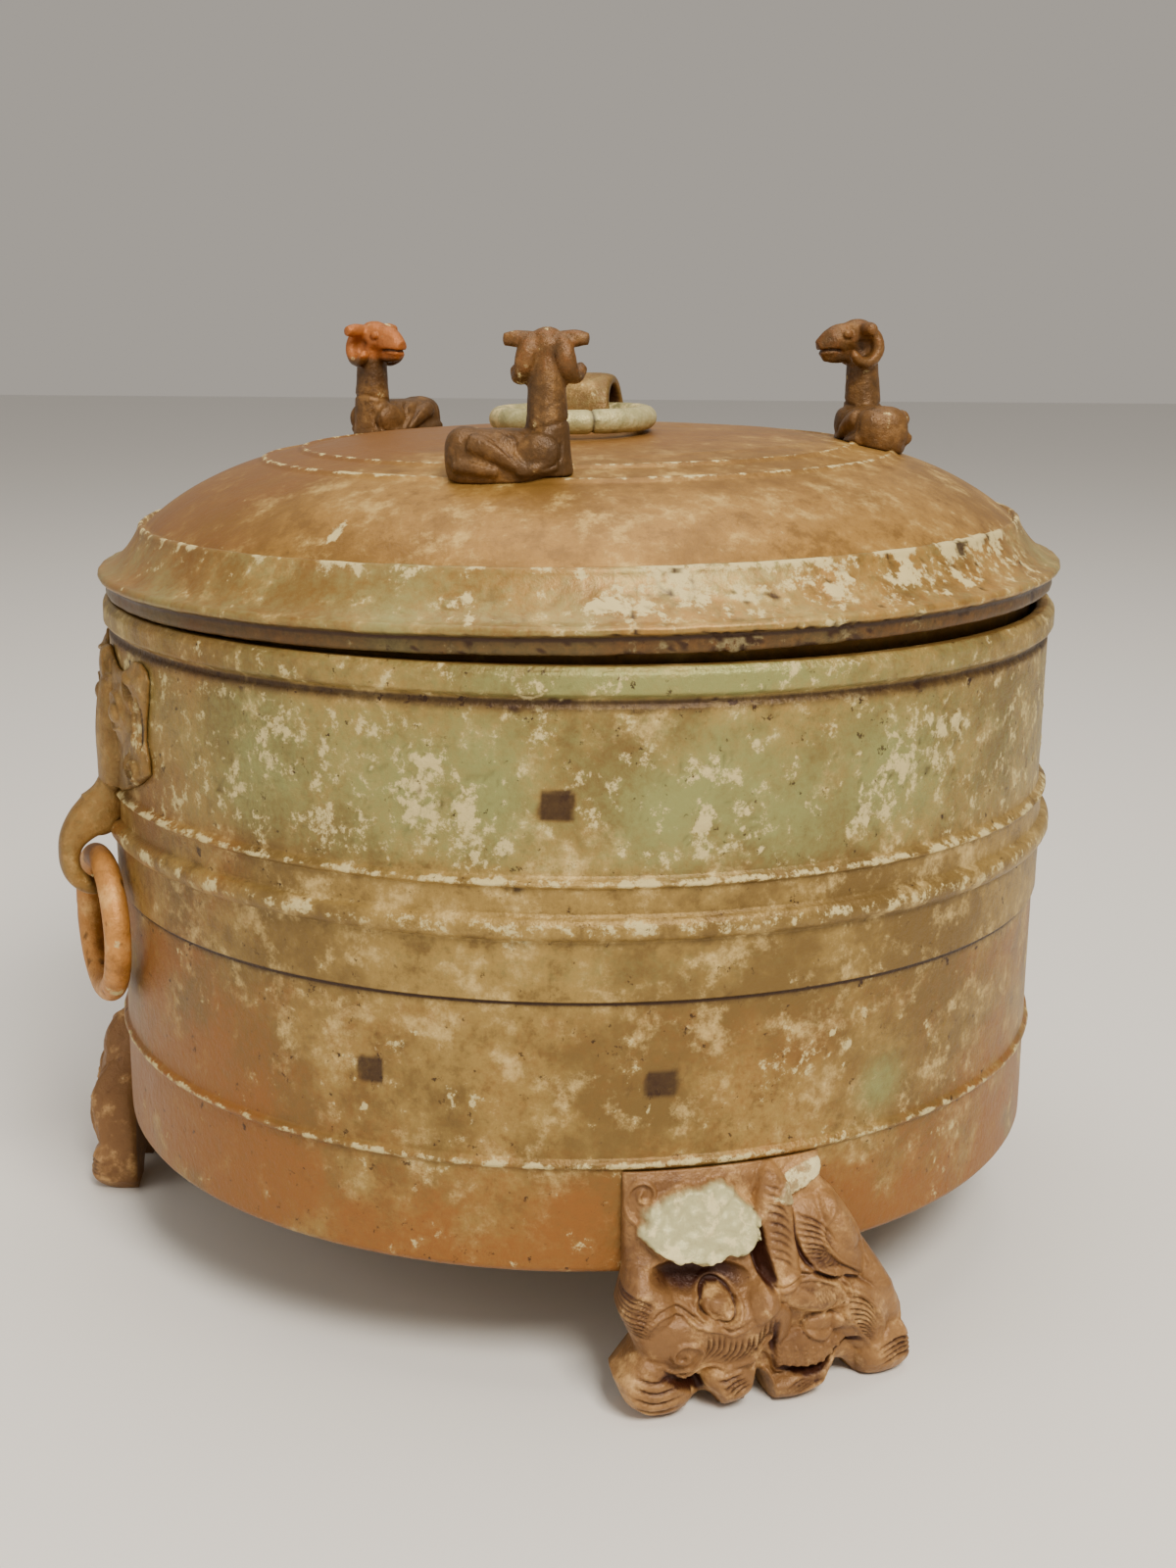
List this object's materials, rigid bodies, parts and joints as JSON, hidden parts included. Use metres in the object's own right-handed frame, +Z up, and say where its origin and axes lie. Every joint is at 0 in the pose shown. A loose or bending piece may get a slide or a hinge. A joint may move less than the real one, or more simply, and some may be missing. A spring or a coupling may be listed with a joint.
{
  "type": "bronze wine warmer",
  "caption": "Lidded cylindrical bronze wine warmer on beast-face feet, with mask handles that hold loose rings, and a domed lid with reclining rams and a ring in a loop.",
  "frame": {"origin": "middle of the footprint's bounding box on the surface that the feet stand on; the vessel's axis stands at x 2.50 mm, y 4.76 mm", "axes": "+Z up along the vessel's axis, -Y towards the front that the picture shows, +X to that view's right"},
  "size_m": [0.2522, 0.2454, 0.2231],
  "materials": {
    "body_bronze": "patinated cast bronze, olive green-brown with pale crust",
    "lid_bronze": "patinated cast bronze, tan brown, greener at the skirt",
    "figure_bronze": "patinated cast bronze, warm brown",
    "foot_bronze": "patinated cast bronze, tan brown with dark hollows",
    "pale_ring": "pale grey-green patina",
    "ring_bronze": "rubbed yellow-brown bronze"
  },
  "bodies": {
    "body": {"vessel": "body_bronze", "lid": "lid_bronze", "lid_loop": "body_bronze", "ram_front": "figure_bronze", "ram_left": "figure_bronze", "ram_right": "figure_bronze", "foot_front": "foot_bronze", "foot_left": "foot_bronze", "foot_back": "foot_bronze", "mask_left": "body_bronze", "mask_right": "body_bronze"},
    "lid_ring": {"lid_ring": "pale_ring"},
    "left_ring": {"handle_ring_left": "ring_bronze"},
    "right_ring": {"handle_ring_right": "ring_bronze"}
  },
  "joints": [
    {"name": "lid_ring_swing", "type": "hinge", "parent": "body", "child": "lid_ring", "pos_m": [0.00487, 0.00476, 0.19975], "axis": [-0.9702, 0.2419, -0.0152], "range_deg": [0, 180]},
    {"name": "left_ring_swing", "type": "hinge", "parent": "body", "child": "left_ring", "pos_m": [-0.11083, -0.03649, 0.0976], "axis": [-0.4226, 0.9063, 0], "range_deg": [-2, 140]},
    {"name": "right_ring_swing", "type": "hinge", "parent": "body", "child": "right_ring", "pos_m": [0.11582, 0.046, 0.0976], "axis": [0.4226, -0.9063, 0], "range_deg": [-2, 140]}
  ]
}
